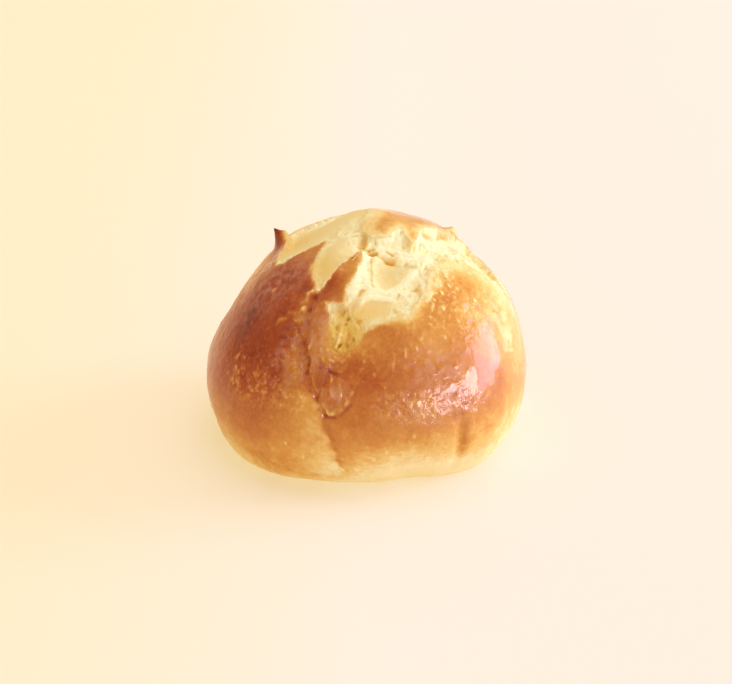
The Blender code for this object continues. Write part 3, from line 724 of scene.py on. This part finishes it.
def pleat_relief(side):
    """Uneven pleats round the foot."""
    azimuth, distance, _radius = side
    random = np.random.default_rng(PLEAT_SEED)
    relief = np.zeros(azimuth.shape)
    for index in range(PLEATS):
        centre = (index + random.uniform(*PLEAT_OFFSETS)) * TURN / PLEATS
        width = random.uniform(*PLEAT_WIDTHS)
        height = random.uniform(*PLEAT_SHARES) * PLEAT_HEIGHT
        relief += height * bell(swing_between(centre, azimuth), width)
    return relief * bell(distance - PLEAT_DISTANCE, PLEAT_SPREAD)


def horn_pull(x, y):
    """Vectors that draw the petal tips up and out."""
    pull = np.zeros(x.shape + (3,))
    for centre_x, centre_y, *sizes, pull_x, pull_y, pull_z in HORNS:
        reach = oval_reach(x - centre_x * MM, y - centre_y * MM, *sizes)
        weight = np.clip(1 - reach, 0, 1) ** HORN_POWER
        pull += weight[..., None] * np.array([pull_x, pull_y, pull_z]) * MM
    return pull


def ridge_relief(side, points):
    """Height of the thin, broken ridges and cracks of the skin, and the brown that they add: paler
    crests and darker cracks, partly painted highlights and painted shade.
    """
    azimuth, distance, radius = side
    bend_size, bend, bend_seed = RIDGE_BEND
    bent_azimuth = azimuth + bend * MM * noise_field(points, bend_size, bend_seed) / radius.clip(MM)
    bent_distance = distance + bend * MM * noise_field(points, bend_size, bend_seed + 1)
    breaks = RIDGE_AMOUNT + RIDGE_UNEVENNESS * noise_field(points, *RIDGE_BREAKS)
    relief = np.zeros(azimuth.shape)
    brown = np.zeros(azimuth.shape)
    for half_width, height, tint, knots in RIDGES:
        parts = path_gaps((bent_azimuth, bent_distance, radius), knots)
        gap = np.min([part_gap for *_ends, part_gap, _share in parts], axis=0)
        share = np.clip(breaks, *RIDGE_LIMITS) * bell(gap, half_width * MM)
        relief += height * MM * share
        brown += tint * share
    return relief, brown


def blister_relief(side):
    """Small blisters of the crust, larger ones at places of their own, and the brown they add: the
    larger ones are painted paler, partly their own colour and partly painted glints.
    """
    azimuth, distance, radius = side
    random = np.random.default_rng(BLISTER_SEED)
    relief = np.zeros(azimuth.shape)
    for _ in range(BLISTERS):
        centre_azimuth = random.uniform(-math.pi, math.pi)
        centre_distance = random.uniform(*BLISTER_DISTANCES) * MM
        width = random.uniform(*BLISTER_WIDTHS) * MM
        height = random.uniform(*BLISTER_HEIGHTS) * MM
        gap = np.hypot(radius * swing_between(centre_azimuth, azimuth), distance - centre_distance)
        near = gap < BLISTER_CUT * width
        relief[near] += height * bell(gap[near], width)
    large = side_spots(side, [(*place, width, width * BLISTER_STRETCH, 0, height)
                              for *place, width, height in LARGE_BLISTERS])
    return relief + large * MM, -BLISTER_PALENESS_AND_GLINT * large


def crust_relief(side, points, edge, calm, gathers):
    """Fine relief of the crust, and the brown that it adds, which holds painted highlights, glints
    and shade.
    """
    relief = noise_sum(points, CRUST_NOISE)
    blisters, blister_pale_and_glint = blister_relief(side)
    ridges, ridge_tint_and_light = ridge_relief(side, points)
    creases = 1 - CREASE_SHARPNESS * np.abs(noise_field(points, *WRINKLE_NOISE))
    wrinkles = WRINKLE_HEIGHT * gathers * creases
    relief = (relief + blisters + wrinkles) * (1 - calm) + ridges
    fade = ease(edge / CRUST_FADE)
    brown = ridge_tint_and_light + blister_pale_and_glint - RELIEF_PALENESS * wrinkles / MM
    return relief * fade, brown * fade


def crumb_relief(x, y, edge, smooth):
    """Fine relief of the torn crumb: strands, pores, folds and lines."""
    places = flat_points(x, y)
    bent = places + noise_field(places, *STRAND_BEND_NOISE)[..., None] * STRAND_BEND
    strands = np.zeros(x.shape)
    for size, height, seed in CRUMB_NOISE:
        drawn = noise_field(bent * STRAND_STRETCH, size, seed)
        strands += height * MM * (1 - STRAND_SHARPNESS * np.abs(drawn))
    strands -= PORE_DEPTH * ease((noise_field(places, *PORE_NOISE) - PORE_START) / PORE_RISE)
    relief = strands * (1 - SMOOTH_SHARE * smooth) + flat_spots(x, y, CRUMB_DETAILS) * MM
    for half_width, height, knots in CRUMB_LINES:
        ends = np.array(knots) * MM
        gaps = [segment_distance(x, y, start, end)[0] for start, end in zip(ends, ends[1:])]
        relief += height * MM * bell(np.min(gaps, axis=0), half_width * MM)
    return relief * ease(-edge / CRUMB_FADE)


def body_relief(side):
    """Relief that crust and crumb share: folds, broad lumps and pleats."""
    return fold_relief(side) + side_spots(side, LUMPS) * MM + pleat_relief(side)


def edge_relief(x, y, edge, lip):
    """Relief across the torn edge: the crust's raised lip, the drop under it and the crumb."""
    on_crust = lip * np.exp(-np.clip(edge, 0, None) / LIP_FADE)
    crumb = ease(-edge / CRUMB_SLOPE) * (flat_spots(x, y, CRUMB_FORMS) * MM - CRUMB_STEP)
    return np.where(edge > 0, on_crust, lip * bell(np.clip(edge, None, 0), LIP_DROP) + crumb)


def place_points(azimuth, distance, relief, x, y):
    """Points at a relief height over the dome, drawn up at the horns."""
    foot = ease((SIDE_LENGTH - distance) / FOOT_EASE)
    lifted = dome_normals(azimuth, distance) * (relief * foot)[..., None]
    return dome_points(azimuth, distance) + lifted + horn_pull(x, y)


def from_flat(x, y, azimuth, distance):
    """Azimuth and distance of flat places, but the ones given where a place is at the top."""
    moved = np.hypot(x, y) > SLOPE_STEP
    return np.where(moved, np.arctan2(y, x), azimuth), np.where(moved, np.hypot(x, y), distance)


def crust_surface(azimuth, distance, inward):
    """Points of the crust, and what its material needs to know at each of them."""
    x, y = snap_to_edge(distance * np.cos(azimuth), distance * np.sin(azimuth))
    azimuth, distance = from_flat(x, y, azimuth, distance)
    dome = dome_points(azimuth, distance)
    side = azimuth, distance, np.hypot(dome[:, 0], dome[:, 1])
    edge, lip, pale_width = ragged_edge(x, y)
    calm = CALM_SHARE * ease(highest_spot(side, CALM_SPOTS) * CALM_EASE)
    gathers = highest_spot(side, WRINKLES)
    fine, fine_brown_and_painted_light = crust_relief(side, dome, edge, calm, gathers)
    relief = edge_relief(x, y, edge, lip) - WALL_DEPTH * ease(-edge / WALL_WIDTH)
    relief += body_relief(side) + fine
    slope_x, slope_y = edge_slope(x, y, edge)
    hang = LIP_HANG * lip * np.exp(-np.abs(edge) / LIP_HANG_FADE)
    hung = from_flat(x - hang * slope_x, y - hang * slope_y, azimuth, distance)
    points = place_points(*hung, relief, x, y)
    points[:, :2] *= (1 - inward)[:, None]
    points[:, 2] = np.maximum(points[:, 2], 0)
    fields = {
        "edge": edge / MM,
        # brown of the crust, holding painted highlights, glints, shade and the painted light on the
        # right
        "browning_and_painted_light": fine_brown_and_painted_light + crust_browning(side, dome, edge, pale_width),
        "gloss": crust_gloss(side),
        "calm": calm,
        "gathers": gathers * (1 - calm),
        # painted sheen: where a mauve reflection is painted into the glaze colour
        "painted_sheen": side_spots(side, PAINTED_SHEEN_SPOTS),
        # pale specks, partly the crust's own flecks and partly painted glints
        "specks_and_glints": side_spots(side, SPECK_AND_GLINT_SPOTS) + SPECK_AND_GLINT_SHARE,
    }
    return points, fields


def crumb_surface(x, y):
    """Points of the crumb's surface, and what its material needs to know at each of them."""
    azimuth, distance = np.arctan2(y, x), np.hypot(x, y)
    dome = dome_points(azimuth, distance)
    edge, lip, pale_width = ragged_edge(x, y)
    flush = np.maximum(ease(pale_width / FLUSH_WIDTH), 1 - ease(lip / FLUSH_LIP))
    step = EDGE_STEP * (1 - FLUSH_SHARE * flush)
    relief = edge_relief(x, y, edge, lip) - step * ease(1 + edge / CRUMB_SLOPE)
    relief -= EDGE_TUCK * np.clip(edge, 0, None)
    relief += body_relief((azimuth, distance, np.hypot(dome[:, 0], dome[:, 1])))
    skin = np.max([flat_form(x, y, *place) for place in SMOOTH_CRUMB], axis=0)
    smooth = ease(skin * SMOOTH_EASE)
    fine = crumb_relief(x, y, edge, smooth)
    points = place_points(azimuth, distance, relief + fine, x, y)
    tone = crumb_tone(x, y, edge, pale_width)
    return points, {"tone": tone, "depth": fine / MM, "smooth": smooth}


def stepped_browning(side, points):
    """Brown that the crust gains or loses on either side of the borders."""
    azimuth, distance, radius = side
    rags = noise_sum(points, [STEP_RAGS])
    brown = np.zeros(azimuth.shape)
    for left, right, reach, knots in BROWNING_STEPS:
        azimuths, distances = (np.array(column) for column in zip(*knots))
        border = np.interp(distance / MM, distances, azimuths) * DEG
        offset = radius * swing_between(border, azimuth) + rags
        ends = (distance / MM - distances[0], distances[-1] - distance / MM)
        share = ease(ends[0] / STEP_END) * ease(ends[1] / STEP_END) * bell(offset, reach * MM)
        brown += share * (left + (right - left) * ease(0.5 + offset / STEP_WIDTH))
    return brown


def crust_browning(side, points, edge, pale_width):
    """How brown the crust is baked, 0 at the pale foot to 1, with the strong light on the right
    side painted in as paler crust.
    """
    brown = np.interp(side[1] / MM, *zip(*BROWNING))
    brown += side_spots(side, BROWNING_AND_LIGHT_SPOTS) + stepped_browning(side, points)
    pale = ease(pale_width / PALE_START) * np.exp(-(np.clip(edge, 0, None) / pale_width) ** 2)
    return np.clip(brown * (1 - EDGE_PALENESS * pale), 0, 1)


def crust_gloss(side):
    """Where the egg glaze is thick, 0 to 1."""
    gloss = np.interp(side[1] / MM, *zip(*GLOSS))
    return np.clip(gloss + side_spots(side, GLOSS_SPOTS), 0, 1)


def crumb_tone(x, y, edge, pale_width):
    """Tone of the crumb, 0 at its whitest to 1 where it is baked brown."""
    soft = ease(pale_width / FLUSH_WIDTH) * np.exp(np.clip(edge, None, 0) / RIM_TONE_WIDTH)
    return np.clip(CRUMB_TONE + RIM_TONE * soft + flat_spots(x, y, CRUMB_SPOTS), 0, 1)


def make_group(name):
    """Collection in the scene, for what a light may be kept to."""
    group = bpy.data.collections.new(name)
    bpy.context.scene.collection.children.link(group)
    return group


LIT_GROUPS = {name: make_group(name) for name in ("bun", "floor")}


def finished_mesh(name, shape):
    """Mesh made of a bmesh, which is freed."""
    mesh = bpy.data.meshes.new(name)
    shape.to_mesh(mesh)
    shape.free()
    return mesh


def add_fields(mesh, fields):
    """Store one number per vertex under each field's name."""
    for name, values in fields.items():
        layer = mesh.attributes.new(name, "FLOAT", "POINT")
        layer.data.foreach_set("value", values.astype(np.float32))


def add_piece(name, mesh, material):
    """A piece of the bun, riding on its body."""
    item = bpy.data.objects.new(name, mesh)
    LIT_GROUPS["bun"].objects.link(item)
    mesh.materials.append(material)
    mesh.shade_smooth()
    mesh.set_sharp_from_angle(angle=SHARP_ANGLE)
    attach(item, BODY)
    return item


def make_crust():
    """Closed crust: a UV sphere with its points moved onto the bun's surface."""
    sphere = bmesh.new()
    bmesh.ops.create_uvsphere(sphere, u_segments=COLUMNS, v_segments=ROWS, radius=1)
    directions = np.array([vert.co for vert in sphere.verts], dtype=float)
    azimuth = np.arctan2(directions[:, 1], directions[:, 0])
    azimuth = azimuth - FRONT_DENSITY * np.sin(azimuth - FRONT)
    polar_share = np.arccos(np.clip(directions[:, 2], -1, 1)) / math.pi
    down = np.clip(polar_share / SIDE_SHARE, 0, 1)
    distance = SIDE_LENGTH * (down + MIDDLE_DENSITY * np.sin(TURN * down) / TURN)
    inward = np.clip((polar_share - SIDE_SHARE) / (1 - SIDE_SHARE), 0, 1)
    points, fields = crust_surface(azimuth, distance, inward)
    for vert, point in zip(sphere.verts, points):
        vert.co = point
    mesh = finished_mesh("bun_crust", sphere)
    add_fields(mesh, fields)
    crust = add_piece("bun_crust", mesh, make_crust_material())
    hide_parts(NODE)


def make_crumb():
    """Torn crumb that shows in the opening: a close grid with a little thickness."""
    steps = np.arange(-CRUMB_REACH, CRUMB_REACH, CRUMB_GRID)
    x, y = (grid.ravel() for grid in np.meshgrid(steps, steps, indexing="ij"))
    edge = opening_edge(x, y)[0].reshape(len(steps), len(steps))
    used = edge < CRUMB_MARGIN
    cells = used[:-1, :-1] & used[1:, :-1] & used[1:, 1:] & used[:-1, 1:]
    numbers = np.arange(x.size).reshape(used.shape)
    corners = (numbers[:-1, :-1], numbers[1:, :-1], numbers[1:, 1:], numbers[:-1, 1:])
    faces = np.stack([corner[cells] for corner in corners], axis=-1)
    kept, faces = np.unique(faces, return_inverse=True)
    points, fields = crumb_surface(x[kept], y[kept])
    mesh = bpy.data.meshes.new("torn_crumb")
    mesh.from_pydata(points, [], faces.reshape(-1, 4).tolist())
    add_fields(mesh, fields)
    crumb = add_piece("torn_crumb", mesh, make_crumb_material())
    shell = crumb.modifiers.new("thickness", "SOLIDIFY")
    shell.thickness = CRUMB_THICKNESS
    shell.offset = -1


class Signal:
    """Output of a shader node, so that sums and products of outputs read as plain arithmetic."""

    def __init__(self, source, output):
        self.tree = source.id_data
        self.socket = source.outputs[output]

    def apply(self, operation, other=0):
        """Output of a math node with this output first."""
        made = node(self.tree, "ShaderNodeMath", operation=operation)
        feed(made.inputs[0], self)
        feed(made.inputs[1], other)
        return Signal(made, 0)

    __add__ = __radd__ = functools.partialmethod(apply, "ADD")
    __sub__ = functools.partialmethod(apply, "SUBTRACT")
    __mul__ = functools.partialmethod(apply, "MULTIPLY")
    __abs__ = functools.partialmethod(apply, "ABSOLUTE")


def feed(socket, value):
    """Set a socket to a number or a colour, or link a signal to it."""
    if isinstance(value, Signal):
        value.tree.links.new(value.socket, socket)
    elif socket.type == "RGBA":
        socket.default_value = (*value, 1)
    else:
        socket.default_value = value


def set_up(made, **values):
    """Give a shader node some of its settings and inputs by name."""
    for name, value in values.items():
        if name in made.bl_rna.properties:
            setattr(made, name, value)
        else:
            feed(made.inputs[name.replace("_", " ")], value)
    return made


def node(tree, kind, **values):
    """New shader node with some of its settings and inputs given."""
    return set_up(tree.nodes.new(kind), **values)


def new_material(name):
    """Empty material with a Principled shader, its node tree and that shader."""
    material = bpy.data.materials.new(name)
    material.use_nodes = True
    tree = material.node_tree
    return material, tree, tree.nodes["Principled BSDF"]


def field(tree, name):
    """A field that is stored in the mesh."""
    return Signal(node(tree, "ShaderNodeAttribute", attribute_name=name), "Fac")


def coordinate(tree, kind, axis):
    """One coordinate of places of a kind."""
    places = Signal(node(tree, "ShaderNodeTexCoord"), kind)
    return Signal(node(tree, "ShaderNodeSeparateXYZ", Vector=places), axis)


def noise_texture(tree, size, detail, distortion=0):
    """Noise with features of a size in mm, about 0.3 to 0.7 with 0.5 in the middle."""
    places = Signal(node(tree, "ShaderNodeTexCoord"), "Object")
    made = node(tree, "ShaderNodeTexNoise", Vector=places, Scale=1 / (size * MM), Detail=detail,
                Distortion=distortion)
    return Signal(made, "Fac")


def spread(value, low, high, to_low=0, to_high=1):
    """A value moved smoothly from one range to another."""
    made = node(value.tree, "ShaderNodeMapRange", interpolation_type="SMOOTHSTEP", Value=value,
                From_Min=low, From_Max=high, To_Min=to_low, To_Max=to_high)
    return Signal(made, "Result")


def veins(tree, size, detail, distortion, reach):
    """Thin winding lines, 1 along their middle."""
    gap = abs(noise_texture(tree, size, detail, distortion) - NOISE_MIDDLE)
    return spread(gap, 0, reach, 1, 0)


def mottle(tree, layers):
    """Sum of layers of noise about 0, each a size, an amount and a detail."""
    return sum((noise_texture(tree, size, detail) - NOISE_MIDDLE) * amount
               for size, amount, detail in layers)


def grain(tree, layers):
    """Height of layers of noise, each as above."""
    return sum(noise_texture(tree, size, detail) * amount for size, amount, detail in layers)


def ramp(value, stops):
    """Colour ramp through the stops, each a place and a colour."""
    made = node(value.tree, "ShaderNodeValToRGB", Fac=value)
    elements = made.color_ramp.elements
    while len(elements) < len(stops):
        elements.new(0.5)
    for element, (place, colour) in zip(elements, stops):
        element.position = place
        element.color = (*colour, 1)
    return Signal(made, "Color")


def mix_colours(tree, share, first, second, blend="MIX"):
    """Two colours mixed by a share."""
    made = node(tree, "ShaderNodeMix", data_type="RGBA", blend_type=blend)
    for index, value in zip(MIX_INPUTS, (share, first, second)):
        feed(made.inputs[index], value)
    return Signal(made, MIX_OUTPUT)


def bump(height, distance):
    """Normal bumped by a height of up to a distance."""
    return Signal(node(height.tree, "ShaderNodeBump", Height=height, Distance=distance), "Normal")


def make_crust_material():
    """Baked, egg-glazed crust, with crumb colour on its torn walls."""
    material, tree, shader = new_material("glazed_crust")
    crinkle = veins(tree, *CRINKLES) * field(tree, "gathers")
    browned_and_painted_light = field(tree, "browning_and_painted_light") + crinkle * CRINKLE_BROWN + mottle(tree, BROWNING_MOTTLE)
    # Pale specks taken off the brown: partly the crust's own flecks, partly painted glints
    for size, low, high, amount in SPECK_AND_GLINT_LAYERS:
        speck_and_glint = spread(noise_texture(tree, size, *SPECK_AND_GLINT_NOISE), low, high, 0, amount)
        browned_and_painted_light -= speck_and_glint * field(tree, "specks_and_glints")
    # Mauve sheen mixed into the colour in patches: painted reflection
    painted_sheen = spread(noise_texture(tree, *PAINTED_SHEEN_NOISE), *PAINTED_SHEEN_PATCHES) * field(tree, "painted_sheen")
    colour = mix_colours(tree, painted_sheen, ramp(browned_and_painted_light, CRUST_COLOURS), PAINTED_SHEEN_COLOUR)
    torn = spread(field(tree, "edge"), *WALL_REACH, 1, 0)
    patchy = spread(noise_texture(tree, *GLAZE_NOISE), *GLAZE_PATCHES)
    glaze = field(tree, "gloss") * patchy * spread(torn, 0, 1, 1, 0)
    height = grain(tree, CRUST_GRAIN) * spread(field(tree, "calm"), 0, 1, 1, CALM_GRAIN)
    normal = bump(height - crinkle * CRINKLE_BUMP, CRUST_BUMP)
    set_up(shader, Base_Color=mix_colours(tree, torn, colour, WALL_COLOUR), Normal=normal,
           Roughness=spread(glaze, 0, 1, *CRUST_ROUGHNESS), Specular_IOR_Level=CRUST_SPECULAR,
           Coat_Weight=glaze, Coat_Roughness=COAT_ROUGHNESS, Coat_IOR=COAT_IOR, Coat_Normal=normal,
           Subsurface_Weight=CRUST_SCATTER, Subsurface_Radius=SCATTER_RADIUS,
           Subsurface_Scale=SCATTER_SCALE)
    return material


def make_crumb_material():
    """Soft, matte, pale yellow crumb, whose palest parts glow a little: painted light."""
    material, tree, shader = new_material("torn_crumb")
    rough = spread(field(tree, "smooth"), 0, 1, 1, 1 - SMOOTH_SHARE)
    thread = veins(tree, *THREADS) * rough
    tone = field(tree, "tone") + mottle(tree, CRUMB_MOTTLE)
    # Deeper crumb is painted more golden: painted shade in the hollows
    tone += field(tree, "depth") * PAINTED_HOLLOW_SHADE - thread * THREAD_TONE
    colour = ramp(tone, CRUMB_COLOURS)
    height = (grain(tree, CRUMB_GRAIN) + thread * THREAD_BUMP) * rough
    # Emission: painted glow of the pale crumb
    set_up(shader, Base_Color=colour, Emission_Color=colour, Roughness=CRUMB_ROUGHNESS,
           Emission_Strength=spread(tone, *CRUMB_PAINTED_GLOW), Specular_IOR_Level=CRUMB_SPECULAR,
           Subsurface_Weight=CRUMB_SCATTER, Subsurface_Radius=SCATTER_RADIUS,
           Subsurface_Scale=SCATTER_SCALE, Normal=bump(height, CRUMB_BUMP))
    return material


def make_floor():
    """Plain pale floor."""
    material, tree, shader = new_material("floor")
    tint = ramp(spread(coordinate(tree, "Object", "X"), *FLOOR_SPREAD), FLOOR_COLOURS)
    speckle = spread(noise_texture(tree, *FLOOR_NOISE), *FLOOR_SPECKLE)
    set_up(shader, Base_Color=mix_colours(tree, 1, tint, speckle, "MULTIPLY"),
           Roughness=FLOOR_ROUGHNESS, Specular_IOR_Level=FLOOR_SPECULAR,
           Emission_Color=FLOOR_GLOW, Emission_Strength=FLOOR_GLOW_STRENGTH)
    sheet = bmesh.new()
    bmesh.ops.create_grid(sheet, x_segments=1, y_segments=1, size=FLOOR_SIZE)
    mesh = finished_mesh("floor", sheet)
    mesh.materials.append(material)
    floor = bpy.data.objects.new("floor", mesh)
    LIT_GROUPS["floor"].objects.link(floor)


def add_area_light(name, place, aim, size, radiance, colour, lit, shows):
    """Rectangular light of a set brightness, which may light only some of the pieces."""
    lamp = bpy.data.lights.new(name, "AREA")
    lamp.shape = "RECTANGLE"
    lamp.size, lamp.size_y = size
    lamp.energy = radiance * math.pi * size[0] * size[1]
    lamp.color = colour
    item = bpy.data.objects.new(name, lamp)
    item.location = place
    item.rotation_euler = (Vector(aim) - Vector(place)).to_track_quat("-Z", "Y").to_euler()
    item.visible_camera = False
    item.visible_diffuse = shows != "gloss"
    item.visible_glossy = shows != "light"
    item.light_linking.receiver_collection = LIT_GROUPS.get(lit)
    bpy.context.scene.collection.objects.link(item)


def make_light():
    """Window-like light on the right and cream light from all round."""
    for light in LIGHTS:
        add_area_light(*light)
    world = bpy.data.worlds.new("room")
    world.use_nodes = True
    tree = world.node_tree
    upward = spread(coordinate(tree, "Generated", "Z"), *ROOM_HEIGHTS)
    across = spread(coordinate(tree, "Generated", "X"), -1, 1, *ROOM_STRENGTHS)
    set_up(tree.nodes["Background"], Color=ramp(upward, ROOM_COLOURS), Strength=across)
    bpy.context.scene.world = world
    bpy.context.scene.view_settings.view_transform = "Standard"


def make_camera():
    """Camera in front of the bun, looking down at it."""
    lens = bpy.data.cameras.new("camera")
    lens.sensor_width = SENSOR_WIDTH
    lens.lens = LENS
    item = bpy.data.objects.new("camera", lens)
    rise, back = math.sin(CAMERA_ELEVATION), math.cos(CAMERA_ELEVATION)
    item.location = Vector(CAMERA_TARGET) + CAMERA_DISTANCE * Vector((0, -back, rise))
    item.rotation_euler = (math.pi / 2 - CAMERA_ELEVATION, 0, 0)
    bpy.context.scene.collection.objects.link(item)
    bpy.context.scene.camera = item


make_crust()
make_crumb()
make_floor()
make_light()
make_camera()
